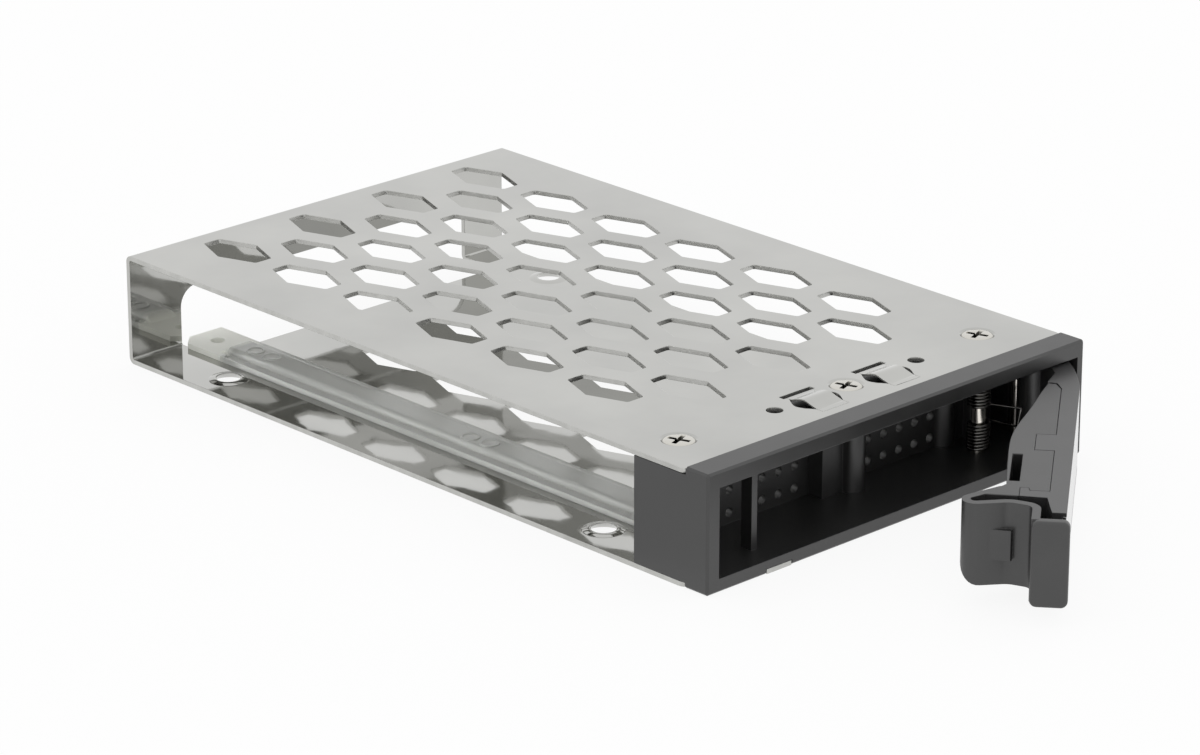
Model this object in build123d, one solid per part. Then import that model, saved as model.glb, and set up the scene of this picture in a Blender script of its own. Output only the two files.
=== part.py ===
from build123d import *
import math
import os

os.makedirs("parts", exist_ok=True)

# All sizes are in mm. The origin is the centre of the four drive screw holes on the tray's
# underside. X runs from the left to the right, Y from the lever end to the rear, Z up.

# Folded tray sheet
TRAY_W = 71.5
TRAY_L = 112.8
TRAY_H = 16.3
SHEET_T = 0.7
BEND_R = 1.0
SHEET_CORNER_R = 1.0
DRIVE_X = 61.72
DRIVE_Y = 76.6
FRONT_TO_DRIVE_HOLE = 20.0
DRIVE_HOLE_R = 1.7
DIMPLE_R = 2.8
DIMPLE_RISE = 0.55
DRIVE_SINK_R = 2.6

# Six sided air holes, long along the tray
HEX_LINES = 7
HEX_PER_LINE = 6
HEX_LINE_PITCH = 7.9
HEX_PITCH = 15.1
HEX_FIRST_X = 12.58
HEX_REAR_Y = 103.3
HEX_HALF_W = 3.53
HEX_HALF_L = 5.77
HEX_TIP_HALF_W = 1.43
FLOOR_HEXES = {2: (1, 2, 3, 4), 4: (1, 2, 3)}

# Opening for the drive's connectors in the rear wall and the floor
REAR_GAP_X0 = 9.1
REAR_GAP_X1 = 63.8
REAR_GAP_FLOOR_Y = 105.2
REAR_GAP_TOP_DROP = 7.1
REAR_GAP_R = 3.0

# Sprung fingers and round holes near the front edge
FINGER_SIDE = 6.8
FINGER_REAR_Y = 9.5
FINGER_ROOT_Y = 2.1
FINGER_SLOT_HALF_W = 2.8
FINGER_SLOT_BULGE = 1.1
FINGER_HALF_W = 2.4
FINGER_T = 0.4
FINGER_PROFILE = [(2.0, 0.0), (3.2, -0.26), (4.6, 0.28), (5.9, 0.66), (7.2, 0.38), (8.45, -0.16)]
ROUND_HOLE_R = 1.15
ROUND_HOLE_SIDE = 13.45
ROUND_HOLE_Y = 6.8
HOOK_X0 = 10.8
HOOK_X1 = 15.3

# Screws that hold the bezel under the top sheet: distance from the left side and the front edge
SCREWS = {"left": (6.7, 8.0), "middle": (36.4, 6.8), "right": (63.2, 7.9)}
SCREW_HEAD_R = 2.4
SCREW_SHANK_R = 1.2
SCREW_LENGTH = 5.0
SCREW_SINK_R = 2.5
CROSS_LENGTH = 2.6
CROSS_WIDTH = 0.55
CROSS_DEPTH = 0.7
BOSS_R = 2.1

# Moulded bezel
RIM_DEPTH = 4.05
RIM_ABOVE_SHEET = 0.3
BEZEL_REAR_Y = 9.3
BACK_WALL_T = 1.1
SIDE_WALL_LEFT = 2.1
SIDE_WALL_RIGHT = 1.3
CAVITY_Z0 = 1.9
CAVITY_Z1 = 14.35
RIM_EDGE = 0.3
FIT_GAP = 0.05
VENT_R = 0.65
VENT_PITCH_X = 3.03
VENT_PITCH_Z = 3.1
VENT_ROWS = 4
VENT_FIRST_X = 10.1
VENT_SECOND_X = 42.3
VENT_SECOND_COUNT = 5
CATCH_POST_X = (11.7, 12.7)
CATCH_POST_Y = (-0.3, 1.6)

# Lever: its plan is given with the lever shut, then turned open about the pivot
OPEN_ANGLE = 39.1
PIVOT = (67.3, 0.6)
PIVOT_PIN_R = 0.8
HUB_R = 2.6
RUNNING_GAP = 0.05
LEVER_Z0 = 2.05
LEVER_Z1 = 14.05
PLATE_FRONT_Y = -5.52
PLATE_T = 0.5
LATCH_T = 1.1
WEDGE_Z0 = 5.7
WEDGE_Z1 = 10.3
WEDGE_RISE = 0.55
LATCH_CORNER_R = 3.0
PARTING_GAP = 0.06

# Double torsion spring on its pin, and the pin that its long leg bears on
SPRING_PIN = (59.0, 3.5)
SPRING_PIN_R = 0.7
STOP_PIN = (67.7, 4.5)
STOP_PIN_R = 0.75
WIRE_R = 0.2
COIL_R = 1.25
COIL_PITCH = 0.43
COIL_TURNS = 8
COIL_SPACE = 2.5
LOOP_LOW = (61.5, -1.35)
LOOP_HIGH = (62.4, -1.1)

# Clear light guide on the tray floor
GUIDE_X0 = 9.8
GUIDE_X1 = 16.6
GUIDE_T = 0.8
GUIDE_BAR_X = (10.7, 14.6)
GUIDE_BAR_H = 1.5
GUIDE_REAR_Y = 112.0
GUIDE_TAB_Y = 104.2
GUIDE_HOLE = (12.9, 108.2)
GUIDE_HOLE_R = 1.05
GUIDE_STAKES = [(12.5, 98.5), (12.3, 95.1), (12.6, 54.8), (12.4, 50.6)]
GUIDE_STAKE_R = 1.4

Y_FRONT = -(DRIVE_Y / 2 + FRONT_TO_DRIVE_HOLE)
FLOOR_Z = SHEET_T
ROOF_Z = TRAY_H - SHEET_T


def at(x, y, z=0.0):
    """A place given from the tray's left side and the sheet's front edge."""
    return (x - TRAY_W / 2, y + Y_FRONT, z)


def plan(points):
    """A flat face in the ground plane from tray places."""
    return make_face(Polyline(*[at(x, y)[:2] for x, y in points], close=True))


def block(x0, x1, y0, y1, z0, z1):
    """A box from tray places."""
    cx, cy, _ = at((x0 + x1) / 2, (y0 + y1) / 2)
    return Pos(cx, cy, (z0 + z1) / 2) * Box(x1 - x0, y1 - y0, z1 - z0)


def prism(face, z0, z1):
    """A ground plane face stood up between two heights."""
    return Pos(0, 0, z0) * extrude(face, amount=z1 - z0)


def post(place, radius, z0, z1):
    """A round upright at a tray place."""
    cx, cy, _ = at(*place)
    return Pos(cx, cy, (z0 + z1) / 2) * Cylinder(radius, z1 - z0)


def cone(place, r0, r1, z0, z1):
    """A tapered round at a tray place, radius r0 at z0 and r1 at z1."""
    cx, cy, _ = at(*place)
    return Pos(cx, cy, (z0 + z1) / 2) * Cone(r0, r1, z1 - z0)


def hexagon(place):
    """One long six sided hole outline."""
    x, y = place
    half = [(HEX_TIP_HALF_W, HEX_HALF_L), (HEX_HALF_W, 0), (HEX_TIP_HALF_W, -HEX_HALF_L)]
    ring = half + [(-a, -b) for a, b in half]
    return plan([(x + a, y + b) for a, b in ring])


def hex_place(line, row):
    """The centre of an air hole; odd lines are shifted by half a pitch."""
    shift = HEX_PITCH / 2 if line % 2 else 0
    return (HEX_FIRST_X + HEX_LINE_PITCH * line, HEX_REAR_Y - HEX_PITCH * row - shift)


def folded_sheet():
    """The sheet folded over the rear: top, rear wall and floor in one piece."""
    outer = Pos(Y_FRONT + TRAY_L / 2, TRAY_H / 2) * Rectangle(TRAY_L, TRAY_H)
    outer = fillet(outer.vertices().sort_by(Axis.X)[-2:], BEND_R)
    deep = TRAY_L - SHEET_T + 5
    inner = Pos(Y_FRONT + TRAY_L - SHEET_T - deep / 2, TRAY_H / 2)
    inner = inner * Rectangle(deep, TRAY_H - 2 * SHEET_T)
    inner = fillet(inner.vertices().sort_by(Axis.X)[-2:], BEND_R - SHEET_T)
    sheet = extrude(Plane.YZ * (outer - inner), amount=TRAY_W / 2, both=True)
    corners = sheet.edges().filter_by(Axis.Z).group_by(Axis.Y)[0]
    return fillet(corners, SHEET_CORNER_R)


def connector_gap():
    """The open window in the rear wall that runs on into the floor."""
    height = TRAY_H - REAR_GAP_TOP_DROP + 2
    cx = (REAR_GAP_X0 + REAR_GAP_X1) / 2 - TRAY_W / 2
    window = Pos(cx, height / 2 - 2) * Rectangle(REAR_GAP_X1 - REAR_GAP_X0, height)
    window = fillet(window.vertices().sort_by(Axis.Y)[-2:], REAR_GAP_R)
    reach = TRAY_L - REAR_GAP_FLOOR_Y + 5
    back = Plane(origin=(0, Y_FRONT + REAR_GAP_FLOOR_Y, 0), x_dir=(1, 0, 0), z_dir=(0, -1, 0))
    return extrude(back * window, amount=-reach)


def finger_slot(cx):
    """The barrel shaped cut round one sprung finger."""
    left, right = cx - FINGER_SLOT_HALF_W, cx + FINGER_SLOT_HALF_W
    middle = (FINGER_ROOT_Y + FINGER_REAR_Y) / 2
    a, b = at(left, FINGER_ROOT_Y)[:2], at(left, FINGER_REAR_Y)[:2]
    c, d = at(right, FINGER_REAR_Y)[:2], at(right, FINGER_ROOT_Y)[:2]
    outline = Curve() + [
        ThreePointArc(a, at(left - FINGER_SLOT_BULGE, middle)[:2], b),
        Line(b, c),
        ThreePointArc(c, at(right + FINGER_SLOT_BULGE, middle)[:2], d),
        Line(d, a),
    ]
    return prism(make_face(outline), TRAY_H - 2 * SHEET_T, TRAY_H + 1)


def finger(cx):
    """One sprung finger: rooted at the front edge, arched up, with its tip let down."""
    top = [(Y_FRONT + y, TRAY_H + z) for y, z in FINGER_PROFILE]
    low = [(y, z - FINGER_T) for y, z in reversed(top)]
    side = Curve() + [
        Spline(*top),
        Line(top[-1], low[0]),
        Spline(*low),
        Line(low[-1], top[0]),
    ]
    shift = cx - TRAY_W / 2
    plane = Plane(origin=(shift, 0, 0), x_dir=(0, 1, 0), z_dir=(1, 0, 0))
    return extrude(plane * make_face(side), amount=FINGER_HALF_W, both=True)


def drive_hole_places():
    """The four drive screw places, from the left side and the front edge."""
    for sx in (-1, 1):
        for row in (0, 1):
            yield (TRAY_W / 2 + sx * DRIVE_X / 2, FRONT_TO_DRIVE_HOLE + row * DRIVE_Y)


def tray_shell():
    """The perforated, folded tray with its dimples, fingers and hook."""
    sheet = folded_sheet()
    cuts = []
    for line in range(HEX_LINES):
        for row in range(HEX_PER_LINE):
            cuts.append(prism(hexagon(hex_place(line, row)), ROOF_Z - 1, TRAY_H + 1))
        for row in FLOOR_HEXES.get(line, ()):
            cuts.append(prism(hexagon(hex_place(line, row)), -1, FLOOR_Z + 1))
    cuts.append(connector_gap())
    middle = SCREWS["middle"][0]
    fingers = [middle - FINGER_SIDE, middle + FINGER_SIDE]
    cuts += [finger_slot(cx) for cx in fingers]
    for side in (-1, 1):
        hole = (middle + side * ROUND_HOLE_SIDE, ROUND_HOLE_Y)
        cuts.append(post(hole, ROUND_HOLE_R, ROOF_Z - 1, TRAY_H + 1))
    for place in SCREWS.values():
        low_r = SCREW_SINK_R - SHEET_T
        cuts.append(cone(place, low_r, SCREW_SINK_R, ROOF_Z, TRAY_H))
    sheet = sheet - cuts
    holes = []
    for place in drive_hole_places():
        top_z = FLOOR_Z + DIMPLE_RISE
        sheet = sheet + cone(place, DIMPLE_R, DIMPLE_R - DIMPLE_RISE, FLOOR_Z, top_z)
        sink = DRIVE_SINK_R - DRIVE_HOLE_R
        holes.append(cone(place, DRIVE_SINK_R, DRIVE_HOLE_R, 0, sink))
        holes.append(post(place, DRIVE_HOLE_R, -1, top_z + 1))
    sheet = sheet - holes
    for cx in fingers:
        sheet = sheet + finger(cx)
    hook = block(HOOK_X0, HOOK_X1, -RIM_DEPTH, 1.0, 0, FLOOR_Z)
    hook = fillet(hook.edges().filter_by(Axis.Z).group_by(Axis.Y)[0], 0.3)
    return sheet + hook


def bezel():
    """The moulded front box with its vents, screw bosses and catch post."""
    rim_top = TRAY_H + RIM_ABOVE_SHEET
    rim = block(0, TRAY_W, -RIM_DEPTH, -FIT_GAP, 0, rim_top)
    rim = chamfer(rim.edges().filter_by(Axis.Y), RIM_EDGE)
    front = rim.faces().sort_by(Axis.Y)[0]
    rim = chamfer(front.edges(), RIM_EDGE)
    z0, z1 = FLOOR_Z + FIT_GAP, ROOF_Z - FIT_GAP
    body = block(0, TRAY_W, -1.0, BEZEL_REAR_Y, z0, z1)
    back_y = BEZEL_REAR_Y - BACK_WALL_T
    cavity = block(SIDE_WALL_LEFT, TRAY_W - SIDE_WALL_RIGHT, -RIM_DEPTH - 1, back_y,
                   CAVITY_Z0, CAVITY_Z1)
    shape = rim + body - cavity
    for place in SCREWS.values():
        shape = shape + post(place, BOSS_R, CAVITY_Z0 - 0.5, CAVITY_Z1 + 0.5)
    mid = SCREWS["middle"]
    shape = shape + block(mid[0] - BOSS_R, mid[0] + BOSS_R, mid[1], back_y + 0.5,
                          CAVITY_Z0 - 0.5, CAVITY_Z1 + 0.5)
    shape = shape + block(*CATCH_POST_X, *CATCH_POST_Y, CAVITY_Z0 - 0.3, CAVITY_Z1 + 0.3)
    cuts = [bezel_vent(x, z) for x in vent_columns() for z in vent_rows()]
    for place in SCREWS.values():
        top_r = SCREW_SINK_R - SHEET_T + FIT_GAP
        shank_r = SCREW_SHANK_R + FIT_GAP
        cuts.append(cone(place, shank_r, top_r, z1 - (top_r - shank_r), z1))
        cuts.append(post(place, shank_r, TRAY_H - SCREW_LENGTH - 0.3, z1 + 1))
    for place, radius in ((PIVOT, PIVOT_PIN_R), (SPRING_PIN, SPRING_PIN_R), (STOP_PIN, STOP_PIN_R)):
        cuts.append(post(place, radius + 0.02, z0 - 1, z1 + 1))
    gap = 0.15
    cuts.append(block(HOOK_X0 - gap, HOOK_X1 + gap, -RIM_DEPTH - 1, 1.2, -1, FLOOR_Z + FIT_GAP))
    return shape - cuts


def vent_columns():
    """Places of the vent columns on each side of the middle boss."""
    left = [VENT_FIRST_X + VENT_PITCH_X * i for i in range(7)]
    right = [VENT_SECOND_X + VENT_PITCH_X * i for i in range(VENT_SECOND_COUNT)]
    return left + right


def vent_rows():
    """Heights of the vent rows, centred on the cavity."""
    middle = (CAVITY_Z0 + CAVITY_Z1) / 2
    return [middle + VENT_PITCH_Z * (i - (VENT_ROWS - 1) / 2) for i in range(VENT_ROWS)]


def bezel_vent(x, z):
    """One round vent through the bezel's back wall."""
    cx, cy, _ = at(x, BEZEL_REAR_Y - BACK_WALL_T / 2)
    return Pos(cx, cy, z) * Rot(90, 0, 0) * Cylinder(VENT_R, BACK_WALL_T + 1)


def screw(place):
    """A countersunk screw with a cross recess."""
    top = TRAY_H - FIT_GAP
    head = SCREW_HEAD_R - SCREW_SHANK_R
    body = cone(place, SCREW_SHANK_R, SCREW_HEAD_R, top - head, top)
    body = body + post(place, SCREW_SHANK_R, TRAY_H - SCREW_LENGTH, top - head)
    cx, cy, _ = at(*place)
    for turn in (20, 110):
        slot = Box(CROSS_LENGTH, CROSS_WIDTH, CROSS_DEPTH)
        body = body - Pos(cx, cy, top - CROSS_DEPTH / 2) * Rot(0, 0, turn) * slot
    return body


def opened(shape):
    """Turns a lever piece from shut to the open rest position."""
    cx, cy, _ = at(*PIVOT)
    return Pos(cx, cy, 0) * Rot(0, 0, OPEN_ANGLE) * Pos(-cx, -cy, 0) * shape


def ribbon(points, radii, width):
    """A strip of one width along straight runs joined by arcs, through tray places."""
    path = FilletPolyline(*[at(x, y)[:2] for x, y in points], radius=radii)
    return trace(path, line_width=width)


ARM_OUTER = [(57.1, -5.02), (59.2, -4.58), (63.4, -3.58), (66.9, -2.7), (69.0, -1.05)]
ARM_INNER = [(64.9, 0.2), (63.6, -1.2), (61.2, -2.03), (57.6, -1.2)]


def lever_arm():
    """The lever's hub, arm and front wall in one moulding."""
    front = PLATE_FRONT_Y + PLATE_T
    wall_back = front + 1.86
    outline = [(12.05, front)] + ARM_OUTER + [(67.9, 0.9)] + ARM_INNER
    outline += [(57.25, -2.5), (55.3, wall_back), (38.25, wall_back), (38.25, -0.6),
                (32.75, -0.6), (32.75, wall_back), (18.6, wall_back), (18.6, -0.6),
                (19.5, -0.4), (19.5, 0.62), (16.7, 0.62), (16.7, -3.2), (16.2, -3.75),
                (12.05, -3.75)]
    arm = prism(plan(outline), LEVER_Z0, LEVER_Z1)
    arm = arm + post(PIVOT, HUB_R, LEVER_Z0, LEVER_Z1)
    arm = arm - post(PIVOT, PIVOT_PIN_R + RUNNING_GAP, 0, TRAY_H)
    return opened(arm)


def latch_block():
    """The solid body of the latch moulding, which fills the arm's inner side."""
    g = PARTING_GAP
    back = PLATE_FRONT_Y + PLATE_T + 1.86 + g
    outline = [(18.6 + g, back), (32.75 - g, back), (32.75 - g, -0.6 + g),
               (38.25 + g, -0.6 + g), (38.25 + g, back), (55.2, back), (57.0, -2.4),
               (57.1, -1.25), (53.4, -0.39), (46.3, 0.6), (42.1, 1.72), (39.1, 2.61),
               (35.5, 2.85), (20.0, 2.65), (19.2, 3.0), (18.0, 3.0), (16.7, 1.7),
               (16.7, 0.62 + g), (19.5 + g, 0.62 + g), (19.5 + g, -0.4 - g), (18.6 + g, -0.6)]
    block_shape = prism(plan(outline), LEVER_Z0, LEVER_Z1)
    pocket = block(21.7, 31.05, 0.85, 2.3, LEVER_Z1 - 6.0, LEVER_Z1 + 1)
    return block_shape - pocket


LATCH_LINE = [(18.3, 2.1), (13.2, 8.8), (14.0, 1.5), (13.65, -1.75), (9.2, -1.75)]
LATCH_BENDS = [1.0, 3.0, 1.7]
LATCH_REAR_Y = 7.0


def latch():
    """The latch moulding: block, hairpin spring, catch wedge and finger pad."""
    spring = prism(ribbon(LATCH_LINE, LATCH_BENDS, LATCH_T), LEVER_Z0, LEVER_Z1)
    rear = LATCH_REAR_Y
    front = -6.0
    mid_y = (rear + front) / 2 + Y_FRONT
    frame = Pos(mid_y, (LEVER_Z0 + LEVER_Z1) / 2) * Rectangle(rear - front, LEVER_Z1 - LEVER_Z0)
    rear_corners = frame.vertices().sort_by(Axis.X)[-2:]
    low, high = sorted(rear_corners, key=lambda v: v.Y)
    frame = fillet([low], LATCH_CORNER_R)
    keep = extrude(Plane.YZ * frame, amount=TRAY_W / 2, both=True)
    spring = spring & keep
    pad = block(8.3, 9.75, -6.1, -1.25, LEVER_Z0, LEVER_Z1)
    pad = fillet(pad.edges().filter_by(Axis.X), 0.7)
    outer = pad.faces().sort_by(Axis.X)[0]
    pad = fillet(outer.edges(), 0.35)
    wedge = plan([(13.7, 1.75), (13.4 - WEDGE_RISE, 1.75), (13.15, 4.6), (13.7, 4.6)])
    whole = latch_block() + spring + pad + prism(wedge, WEDGE_Z0, WEDGE_Z1)
    return opened(whole)


def front_plate():
    """The bright plate on the lever's outside, bent with the arm."""
    y = PLATE_FRONT_Y
    outer = [(12.05, y), (57.0, y), (59.3, y + 0.46), (61.6, y + 1.0)]
    inner = [(61.48, y + 1.46), (59.18, y + 0.93), (57.08, y + 0.48), (12.05, y + 0.48)]
    return opened(prism(plan(outer + inner), LEVER_Z0 + 0.1, LEVER_Z1 - 0.1))


def coil(z0, turns):
    """A close coil about the spring pin."""
    cx, cy, _ = at(*SPRING_PIN)
    path = Helix(pitch=COIL_PITCH, height=COIL_PITCH * turns, radius=COIL_R)
    start = Plane(origin=path @ 0, z_dir=path % 0)
    return Pos(cx, cy, z0) * sweep(start * Circle(WIRE_R), path=path)


def lever_spring():
    """Two coils on one pin, joined by a loop that bears on the lever's arm."""
    height = COIL_PITCH * COIL_TURNS
    low_z = CAVITY_Z0 + WIRE_R + 0.05
    foot = (SPRING_PIN[0] + COIL_R, SPRING_PIN[1])
    low_top, high_foot = low_z + height, low_z + height + COIL_SPACE
    spring = coil(low_z, COIL_TURNS) + coil(high_foot, COIL_TURNS)
    spring = spring + rod(at(*foot, low_top), at(*LOOP_LOW, low_top), WIRE_R)
    spring = spring + rod(at(*foot, high_foot), at(*LOOP_HIGH, high_foot), WIRE_R)
    spring = spring + rod(at(*LOOP_LOW, low_top), at(*LOOP_HIGH, high_foot), WIRE_R)
    for spot, z in ((foot, low_top), (foot, high_foot), (LOOP_LOW, low_top), (LOOP_HIGH, high_foot)):
        spring = spring + Pos(*at(*spot, z)) * Sphere(WIRE_R)
    return spring


def rod(a, b, radius):
    """A round bar between two points."""
    line = Line(a, b)
    return sweep(Plane(origin=a, z_dir=line % 0) * Circle(radius), path=line)


def light_guide():
    """The clear strip with its rear tab, raised bar and stake heads."""
    z0 = FLOOR_Z + 0.02
    z1 = z0 + GUIDE_T
    y0 = BEZEL_REAR_Y + 0.1
    outline = [(GUIDE_X0, y0), (GUIDE_X1, y0), (GUIDE_X1, GUIDE_REAR_Y), (GUIDE_X0 + 1.2, GUIDE_REAR_Y),
               (GUIDE_X0, GUIDE_REAR_Y - 1.2)]
    strip = prism(plan(outline), z0, z1)
    bar = block(GUIDE_BAR_X[0], GUIDE_BAR_X[1], y0, GUIDE_TAB_Y, z0, z0 + GUIDE_BAR_H)
    bar = fillet(bar.edges().filter_by(Axis.Y).group_by(Axis.Z)[-1], 0.6)
    strip = strip + bar
    for place in GUIDE_STAKES:
        strip = strip + post(place, GUIDE_STAKE_R, z0, z0 + GUIDE_BAR_H + 0.25)
    return strip - post(GUIDE_HOLE, GUIDE_HOLE_R, z0 - 1, z1 + 1)


def write(name, shape):
    """Writes one named piece to its own file."""
    export_step(shape, "parts/" + name + ".step")


write("tray_shell", tray_shell())
write("bezel", bezel())
for side, spot in SCREWS.items():
    write("screw_" + side, screw(spot))
write("lever_arm", lever_arm())
write("lever_latch", latch())
write("lever_front_plate", front_plate())
pin_z0, pin_z1 = FLOOR_Z + FIT_GAP + 0.02, ROOF_Z - FIT_GAP - 0.02
write("lever_pivot_pin", post(PIVOT, PIVOT_PIN_R, pin_z0, pin_z1))
write("spring_pin", post(SPRING_PIN, SPRING_PIN_R, pin_z0, pin_z1))
write("stop_pin", post(STOP_PIN, STOP_PIN_R, pin_z0, pin_z1))
write("lever_spring", lever_spring())
write("light_guide", light_guide())
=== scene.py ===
import math

import bmesh
import bpy
from mathutils import Matrix, Vector


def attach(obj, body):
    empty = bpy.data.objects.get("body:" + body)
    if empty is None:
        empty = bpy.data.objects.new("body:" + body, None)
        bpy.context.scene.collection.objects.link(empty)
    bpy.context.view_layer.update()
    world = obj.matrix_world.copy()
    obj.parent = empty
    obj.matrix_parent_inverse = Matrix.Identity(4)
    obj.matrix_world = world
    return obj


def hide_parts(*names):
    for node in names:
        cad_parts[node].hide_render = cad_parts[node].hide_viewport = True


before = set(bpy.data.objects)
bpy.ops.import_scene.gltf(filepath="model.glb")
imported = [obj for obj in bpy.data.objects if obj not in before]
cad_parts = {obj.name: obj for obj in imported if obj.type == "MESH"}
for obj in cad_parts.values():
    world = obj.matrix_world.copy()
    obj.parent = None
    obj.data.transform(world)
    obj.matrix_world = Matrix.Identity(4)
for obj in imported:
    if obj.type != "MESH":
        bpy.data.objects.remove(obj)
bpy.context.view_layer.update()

# Everything is in metres, in the frame of the solids. MM turns millimetres into metres. Places
# on the part are in mm from the tray's left side, the top sheet's front edge and the underside.
MM = 0.001
SIDE = 35.75
FRONT = 58.3

# Camera: at the photograph's viewpoint
CAMERA_PLACE = (-441.75 * MM, -468.6 * MM, 247.2 * MM)
CAMERA_DOWN = 20.74
CAMERA_TURN = 43.63
CAMERA_LENS = 148.0
CAMERA_SENSOR = 36.0
CAMERA_CLIP = (0.01, 20)

# Room
FLOOR_SIZE = 6.0
FLOOR_DROP = 0.05 * MM
FLOOR_WHITE = 0.95
WHITE = (1, 1, 1, 1)
FLOOR_GLOW_SHARE = 0.9
WORLD_LEVEL = 0.95

# Colours, as linear red, green and blue, and roughness
SHEET_COLOURS = ((0.455, 0.455, 0.44), (0.52, 0.52, 0.5))
SHEET_ROUGHNESS = (0.015, 0.075)
CUT_COLOURS = ((0.5, 0.5, 0.48), (0.57, 0.57, 0.55))
CUT_ROUGHNESS = (0.34, 0.42)
BEZEL_LOOK = ((0.016, 0.016, 0.016), 0.4)
LEVER_LOOK = ((0.024, 0.024, 0.0245), 0.36)
LATCH_LOOK = ((0.02, 0.02, 0.02), 0.38)
PIN_LOOK = ((0.75, 0.71, 0.66), 0.12)
SPRING_LOOK = ((0.2, 0.195, 0.185), 0.22)
SPRING_PIN_LOOK = ((0.86, 0.82, 0.75), 0.15)
SCREW_LOOK = ((0.62, 0.605, 0.56), 0.2)
PLATE_LOOK = ((0.6, 0.6, 0.6), 0.12)
GUIDE_COLOURS = ((0.96, 0.97, 0.94), (0.96, 0.97, 0.9))
GUIDE_CLEARNESS = (0.62, 0.04)
GUIDE_ROUGHNESS = (0.14, 0.4)
MOULDED_GLOSS = 0.95
MOULDED_TONES = (0.8, 1.2)
MOULDED_PLAY = 0.06
STEEL_TONES = (0.94, 1.0)
STEEL_PLAY = (0.6, 1.4)
CLOUD_RANGE = (0.3, 0.7)

# Rounding of edges, in mm, and the angles that count as edges
ARM_EDGE = 0.1
BLOCK_EDGE = 0.1
PLATE_EDGE = 0.08
STRIP_EDGE = 0.28
PAD_EDGE = 0.4
WEDGE_EDGE = 0.06
SCREW_EDGE = 0.05
GUIDE_EDGE = 0.08
SHEET_EDGE = 0.07
EDGE_STEPS = 2
EDGE_ANGLE = math.radians(32)
SHARP_ANGLE = math.radians(50)
MERGE_GAP = 0.005 * MM

# How high the cutting pieces go, and how far they run past a face, in mm
CUT_HIGH = 20
CUT_MARGIN = 1

# Lever: drawn shut, then turned open about the pivot
OPEN_ANGLE = math.radians(39.1)
PIVOT = (67.3, 0.6)
HUB_R = 2.6
HUB_BORE_R = 0.85
LEVER_LOW = 2.05
LEVER_HIGH = 14.05
ARM_FRONT = -5.52
ARM_BACK = -3.16
ARM_END = 11.65
ARM_BENDS = [(56.7, -5.52), (58.7, -5.26), (60.9, -4.92), (63.1, -4.45), (64.9, -3.95)]
ARM_SHOULDER = [(67.1, -3.15), (69.2, -1.2), (67.9, 0.9)]
ARM_INNER = [(64.9, 0.2), (63.6, -1.2), (61.2, -2.03), (57.6, -1.2), (57.25, -2.5)]
ARM_RAMP_X = 55.3
TONGUE = (32.75, 38.25)
TONGUE_TOP = -0.6
HEEL = [(18.6, -0.6), (19.5, -0.4), (19.5, 0.62)]
HEEL_END_X = 16.75
ARM_TOE = [(16.5, -2.9), (13.9, -3.3), (ARM_END, -3.7)]
PARTING = 0.05
PLATE_T = 0.48
PLATE_LIP = 0.5
PLATE_GAP = 0.03
SEAT_OUTSIDE = 2

# Latch moulding
BLOCK_END = [(55.15, -3.1), (56.95, -2.35)]
BLOCK_BACK = [(57.05, -1.25), (53.4, -0.45), (50.0, 0.15), (46.3, 0.9), (42.1, 1.85), (37.7, 2.57),
              (33.4, 2.75), (27.0, 2.65), (20.6, 2.45)]
BLOCK_ROOT = [(19.9, 2.95), (17.7, 5.55), (16.86, 4.84)]
POCKET = [(21.7, 0.85), (31.05, 0.85), (31.05, 2.15), (21.7, 2.15)]
POCKET_DEPTH = 6.0
STRIP_LINE = [(19.3, 2.8), (12.53, 10.9), (14.95, 1.65), (13.9, -1.75), (9.2, -1.75)]
STRIP_BENDS = [1.2, 3.0, 1.7]
STRIP_T = 1.1
STRIP_LIFT = 0.9
STRIP_REAR = 7.75
STRIP_CORNER_R = 2.6
WEDGE = [(14.8, 1.2), (13.8, 1.2), (13.5, 1.4), (13.75, 4.1), (14.8, 4.1)]
WEDGE_Z = (6.4, 10.5)
PAD_X = (8.3, 9.9)
PAD_Y = (-6.1, -1.25)
PAD_LIFT = 0.4
PAD_CORNER_R = 0.9

# Folded tray sheet
SHEET_L = 112.8
SHEET_H = 16.3
SHEET_T = 0.7
BEND_R = 1.0
CORNER_R = 1.0
HEX_LINES = 7
HEX_ROWS = 6
HEX_MIDDLE_X = 36.28
HEX_LINE_PITCH = 7.9
HEX_PITCH = 15.1
HEX_REAR_Y = 103.3
HEX_HALF = [(1.43, 5.77), (3.53, 0), (1.43, -5.77)]
HEX_CORNER_R = 0.45
FLOOR_HEXES = {2: (1, 2, 3, 4), 4: (1, 2, 3)}
FLOOR_HEX_SHIFT = {2: (-0.9, -1.7), 4: (0, 0)}
GAP_X = (9.1, 63.8)
GAP_FLOOR_Y = 105.2
GAP_REAR_Y = 117.8
GAP_TOP = 9.2
GAP_LOW = -2
GAP_R = 3.0
DRIVE_X = (4.89, 66.61)
DRIVE_Y = (20.0, 96.6)
DIMPLE = [(0.0, 0.93), (1.95, 0.93), (2.3, 0.89), (2.8, 0.74), (2.98, 0.7), (2.98, 0.4)]
DIMPLE_HOLE = [(0.0, 2.0), (1.7, 2.0), (1.7, 0.8), (2.5, 0.0), (2.5, -1.0)]
SINK = [(0.0, 17.0), (2.48, 17.0), (2.48, 16.3), (1.66, 15.5), (1.66, 15.0)]
FINGER_X = (29.6, 43.2)
FINGER_HALF_W = 2.4
FINGER_ROOT_Y = 2.0
FINGER_TIP_Y = 8.75
FINGER_ARCH = [(2.9, 16.3), (3.3, 16.33), (4.4, 16.6), (5.7, 16.93), (7.0, 16.68), (7.9, 16.36),
               (8.3, 16.3)]
FINGER_T = 0.32
SLOT_Y = (2.1, 9.7)
SLOT_HALF_W = 2.46
SLOT_BULGE = 1.3
SLOT_BOW_Y = (3.2, 5.7, 8.2)
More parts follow.
